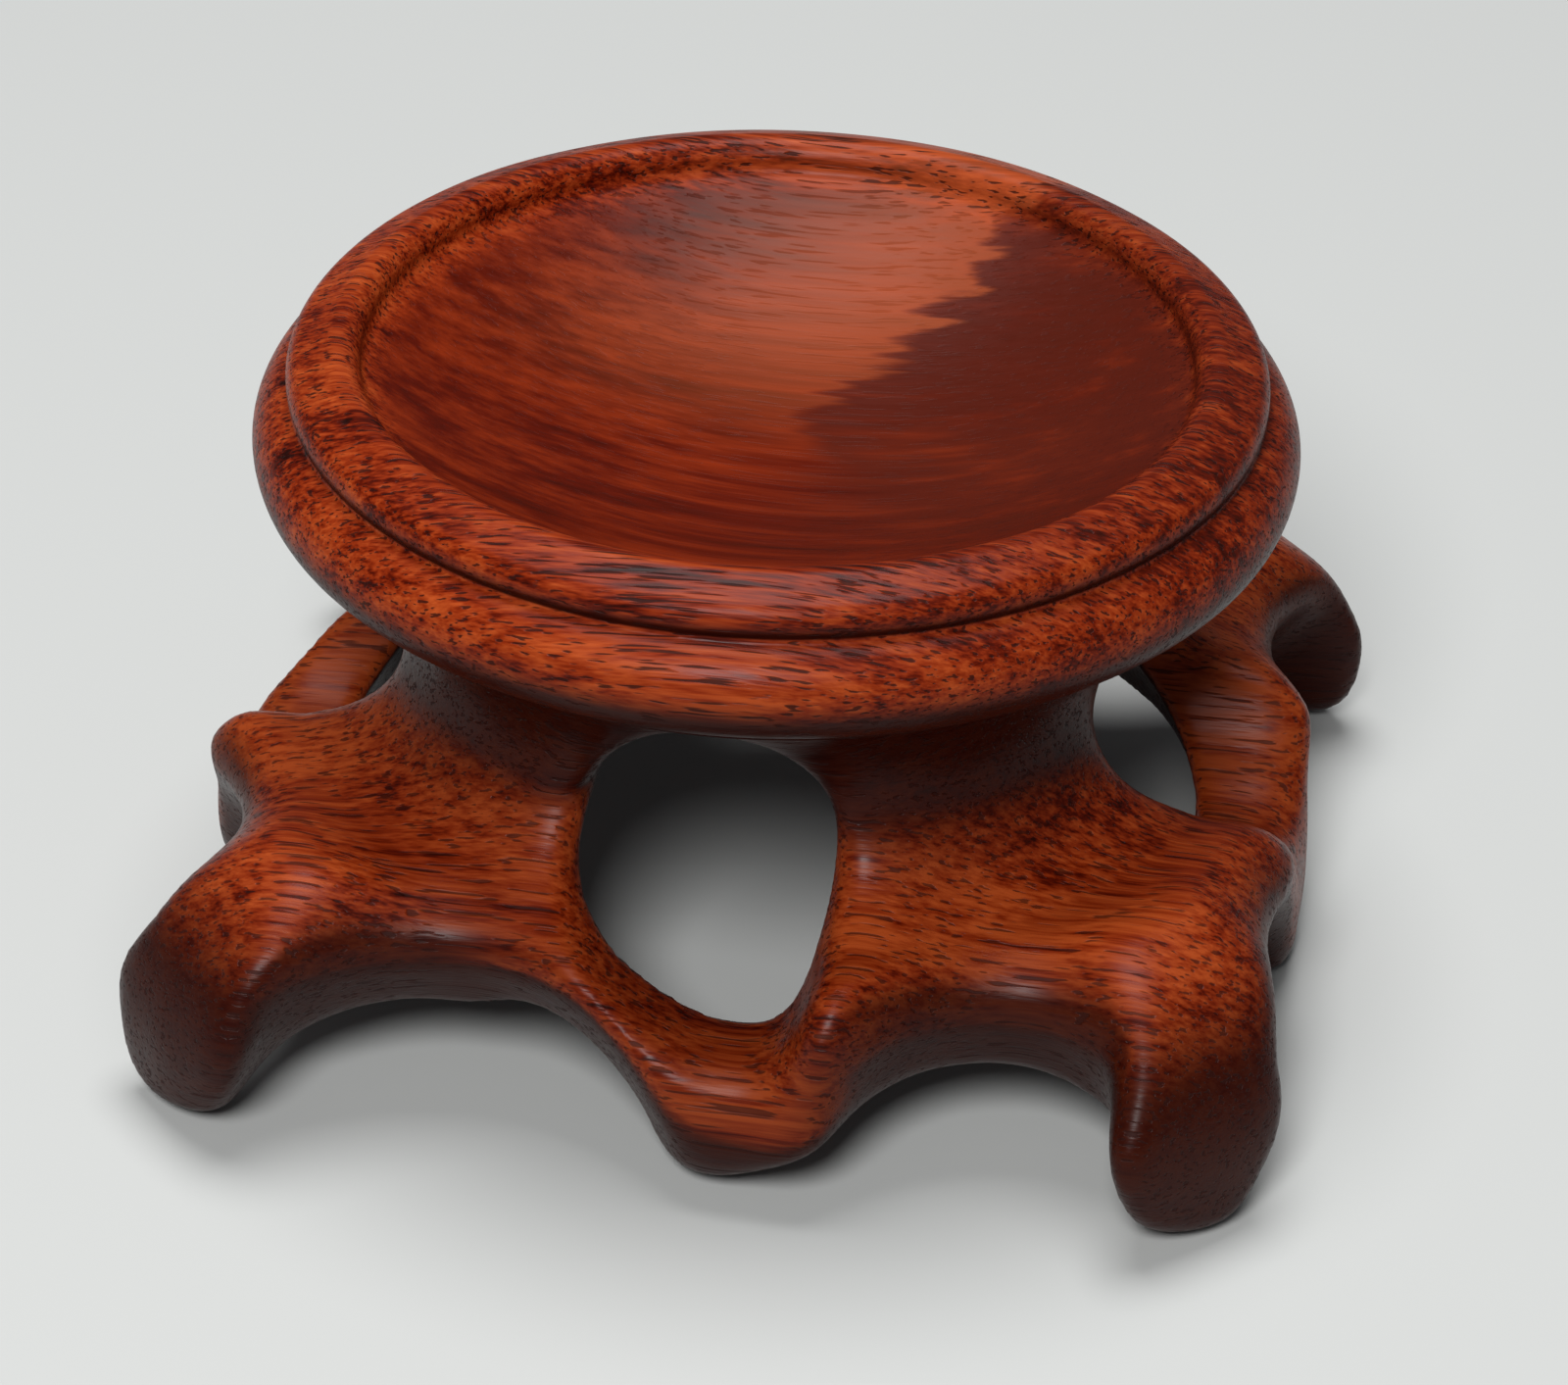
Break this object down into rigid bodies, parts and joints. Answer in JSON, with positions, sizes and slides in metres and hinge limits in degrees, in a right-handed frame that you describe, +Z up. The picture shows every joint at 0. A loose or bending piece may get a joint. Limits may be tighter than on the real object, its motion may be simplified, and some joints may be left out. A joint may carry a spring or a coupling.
{
  "type": "carved wooden stand",
  "caption": "Small root-carved hardwood stand: a turned dish with a moulded two-roll rim on a pierced, hollow base with corner roots, to display a ball, egg or bottle.",
  "frame": {"origin": "on the table under the axis of the dish", "axes": "+Z up along the axis of the dish, -Y out of the side that faces the viewer, +X to the right of that side"},
  "size_m": [0.062, 0.062, 0.035],
  "materials": {
    "dish_wood": "waxed satin, open pores",
    "base_wood": "waxed satin, open pores",
    "wedge_wood": "raw, sawn"
  },
  "bodies": {
    "root": {"dish": "dish_wood", "root_base": "base_wood", "tenon_wedge": "wedge_wood"}
  },
  "joints": []
}
